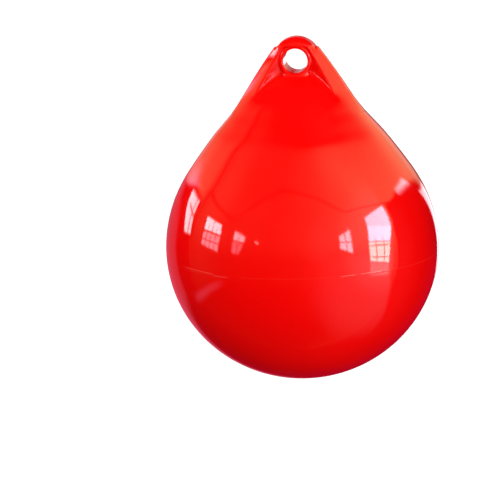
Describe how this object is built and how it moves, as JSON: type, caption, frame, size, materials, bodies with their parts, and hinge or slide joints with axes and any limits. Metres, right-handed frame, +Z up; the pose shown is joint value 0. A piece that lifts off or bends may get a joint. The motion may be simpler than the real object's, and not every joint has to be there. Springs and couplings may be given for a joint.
{
  "type": "ball fender",
  "caption": "Inflatable teardrop ball fender in glossy red vinyl with a ribbed moulded eye on top for the rope and a needle valve in the back of the shoulder.",
  "frame": {"origin": "centre of the through hole of the rope eye", "axes": "+Z up from the ball to the eye, +Y along the eye hole towards the back, where the needle valve is; the face seen in the picture looks towards -Y"},
  "size_m": [0.305, 0.305, 0.3852],
  "materials": {
    "vinyl": "gloss",
    "valve_rubber": "matte"
  },
  "bodies": {
    "root": {"fender_body": "vinyl", "needle_valve": "valve_rubber"}
  },
  "joints": []
}
